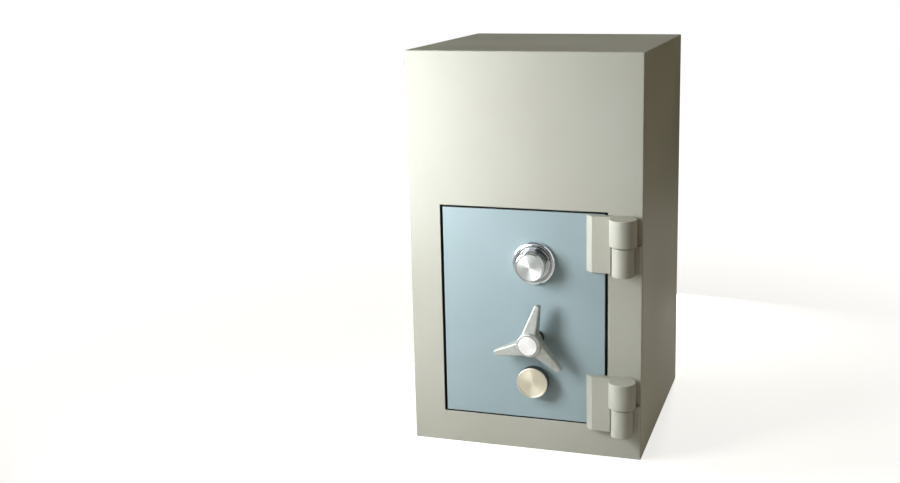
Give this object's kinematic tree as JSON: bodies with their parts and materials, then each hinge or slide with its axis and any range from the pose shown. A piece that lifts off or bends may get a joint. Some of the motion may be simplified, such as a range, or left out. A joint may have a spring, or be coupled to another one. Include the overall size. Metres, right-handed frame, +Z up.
{
  "type": "drop safe with deposit drawer",
  "caption": "Plate steel drop safe with a dial-locked hinged front door and a key-locked deposit drawer in its back.",
  "frame": {"origin": "centre of the body's underside", "axes": "+Z up, +X to the right of someone who faces the door, +Y from the door into the safe"},
  "size_m": [0.508, 0.5977, 0.864],
  "materials": {
    "body_paint": "satin grey-green enamel",
    "door_paint": "satin blue-grey enamel",
    "chrome": "bright plated",
    "turned_steel": "lathe-turned and polished",
    "pull_knob_metal": "turned face with a warm tint",
    "handle_casting": "matte silver-grey casting",
    "boltwork_steel": "machined",
    "sheet_steel": "dull zinc plated sheet",
    "lock_brass": "machined brass",
    "dark_steel": "dark key plug"
  },
  "bodies": {
    "body": {"bottom_plate": "body_paint", "top_plate": "body_paint", "left_wall": "body_paint", "right_wall": "body_paint", "front_plate": "body_paint", "back_plate": "body_paint", "door_stop_left": "body_paint", "door_stop_right": "body_paint", "door_stop_bottom": "body_paint", "door_stop_top": "body_paint", "upper_body_knuckle": "body_paint", "lower_body_knuckle": "body_paint", "upper_hinge_pin": "boltwork_steel", "lower_hinge_pin": "boltwork_steel", "upper_hinge_washer": "lock_brass", "lower_hinge_washer": "lock_brass", "sleeve_side_left": "sheet_steel", "sleeve_side_right": "sheet_steel", "sleeve_roof": "sheet_steel", "drawer_rail_left": "boltwork_steel", "drawer_rail_right": "boltwork_steel"},
    "door": {"door_plate": "door_paint", "upper_hinge_strap": "body_paint", "lower_hinge_strap": "body_paint", "dial_ring": "chrome", "handle_bush": "turned_steel", "door_pull_knob": "pull_knob_metal", "bolt_guide": "boltwork_steel", "rack_guide": "boltwork_steel", "dead_bar": "boltwork_steel", "boltwork_cover": "body_paint", "lock_case": "lock_brass", "lock_cover": "sheet_steel"},
    "dial": {"dial_disc": "chrome", "dial_knob": "turned_steel", "dial_spindle": "lock_brass", "drive_cam": "lock_brass"},
    "handle": {"handle_spokes": "handle_casting", "handle_cap": "turned_steel", "handle_spindle": "boltwork_steel", "pinion": "boltwork_steel"},
    "boltwork": {"bolt_carrier": "boltwork_steel", "locking_bolt_1": "turned_steel", "locking_bolt_2": "turned_steel", "locking_bolt_3": "turned_steel"},
    "combination_bolt": {"lock_bolt": "lock_brass"},
    "drawer": {"drawer_face": "door_paint", "drawer_tray": "sheet_steel", "drawer_pull": "chrome", "drawer_lock_barrel": "chrome", "drawer_lock_nut": "boltwork_steel", "drawer_runner_left": "boltwork_steel", "drawer_runner_right": "boltwork_steel"},
    "flap": {"flap_plate": "sheet_steel", "flap_shaft": "boltwork_steel", "flap_crank_left": "boltwork_steel", "flap_crank_right": "boltwork_steel"},
    "key_plug": {"drawer_lock_plug": "dark_steel", "drawer_lock_tongue": "boltwork_steel"}
  },
  "joints": [
    {"name": "door_swing", "type": "hinge", "parent": "body", "child": "door", "pos_m": [0.2185, -0.283, 0.3], "axis": [0, 0, 1], "range_deg": [0, 180]},
    {"name": "dial_turn", "type": "hinge", "parent": "door", "child": "dial", "pos_m": [0.024, -0.254, 0.42], "axis": [0, -1, 0], "continuous": true},
    {"name": "handle_turn", "type": "hinge", "parent": "door", "child": "handle", "pos_m": [0.024, -0.254, 0.255], "axis": [0, -1, 0], "range_deg": [0, 90]},
    {"name": "bolt_throw", "type": "slide", "parent": "door", "child": "boltwork", "axis": [-1, 0, 0], "range_m": [0, 0.02513]},
    {"name": "combination_bolt_throw", "type": "slide", "parent": "door", "child": "combination_bolt", "axis": [0, 0, -1], "range_m": [0, 0.009]},
    {"name": "drawer_slide", "type": "slide", "parent": "body", "child": "drawer", "axis": [0, 1, 0], "range_m": [0, 0.17]},
    {"name": "flap_swing", "type": "hinge", "parent": "drawer", "child": "flap", "pos_m": [0, 0.039, 0.694], "axis": [1, 0, 0], "range_deg": [0, 75]},
    {"name": "drawer_lock_turn", "type": "hinge", "parent": "drawer", "child": "key_plug", "pos_m": [0, 0.254, 0.6556], "axis": [0, 1, 0], "range_deg": [0, 90]}
  ],
  "couplings": [
    {"joint": "bolt_throw", "follows": "handle_turn", "m_per_rad": 0.016},
    {"joint": "flap_swing", "follows": "drawer_slide", "rad_per_m": 7.7}
  ]
}
